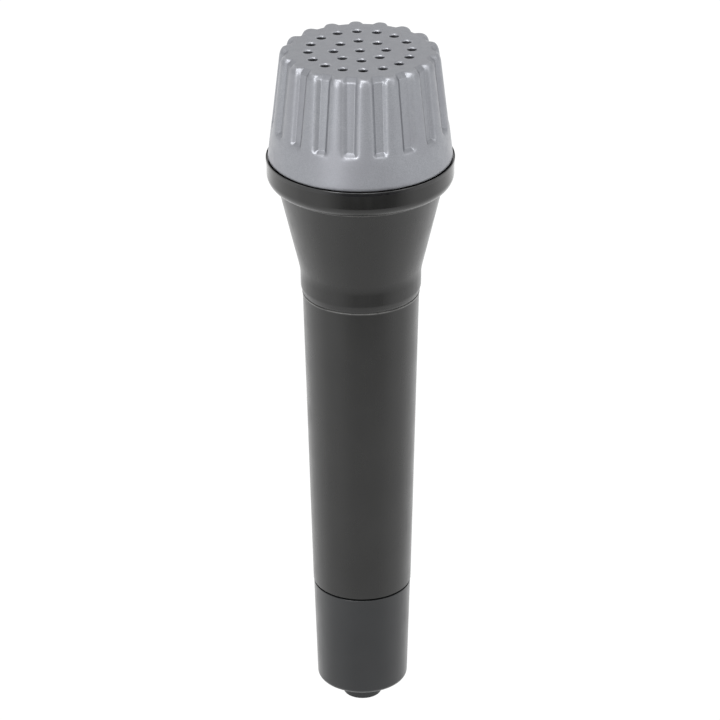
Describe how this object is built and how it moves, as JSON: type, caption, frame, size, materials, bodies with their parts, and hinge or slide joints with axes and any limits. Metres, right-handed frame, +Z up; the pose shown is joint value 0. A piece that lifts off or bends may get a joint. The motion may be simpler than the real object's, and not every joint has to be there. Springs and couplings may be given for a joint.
{
  "type": "spring-echo microphone",
  "caption": "Hand-held passive echo microphone: perforated fluted head over a diaphragm, flared horn, hollow handle with a long echo spring, push-on end cap.",
  "frame": {"origin": "centre of the flat end of the tail plug, on the surface the microphone stands on", "axes": "+Z up the handle's axis to the head; +X along the cross pins, between two of the grille's outer holes' diameters"},
  "size_m": [0.0644, 0.0644, 0.25],
  "materials": {
    "silver_paint": "satin metallic silver-grey paint over moulded plastic",
    "gloss_black": "gloss black moulded plastic",
    "charcoal_plastic": "satin charcoal moulded plastic",
    "cap_plastic": "satin charcoal moulded plastic, very slightly cooler",
    "black_rubber": "matt black rubber",
    "inner_plastic": "matt black moulded plastic",
    "diaphragm_film": "thin formed plastic sheet",
    "bright_steel": "zinc-plated steel",
    "spring_steel": "drawn spring wire"
  },
  "bodies": {
    "handle": {"barrel": "charcoal_plastic", "horn_body": "charcoal_plastic", "rim_ring": "gloss_black", "clamp_ring": "inner_plastic", "diaphragm_gasket": "black_rubber", "anchor_bridge": "inner_plastic", "anchor_pin": "bright_steel", "echo_spring": "spring_steel"},
    "head": {"head_grille": "silver_paint"},
    "tail_cap": {"end_cap": "cap_plastic", "tail_seal_ring": "black_rubber", "tail_plug": "cap_plastic"},
    "diaphragm_centre": {"diaphragm": "diaphragm_film", "spring_hub": "inner_plastic", "hub_washer": "bright_steel", "hub_nut": "bright_steel", "hub_pin": "bright_steel"}
  },
  "joints": [
    {"name": "head_pull_off", "type": "slide", "parent": "handle", "child": "head", "axis": [0, 0, 1], "range_m": [0, 0.03]},
    {"name": "end_cap_pull_off", "type": "slide", "parent": "handle", "child": "tail_cap", "axis": [0, 0, -1], "range_m": [0, 0.03]},
    {"name": "diaphragm_flex", "type": "slide", "parent": "handle", "child": "diaphragm_centre", "axis": [0, 0, 1], "range_m": [-0.0008, 0.0008], "stiffness_N_per_m": 200, "deforming": ["echo_spring", "diaphragm"]}
  ]
}
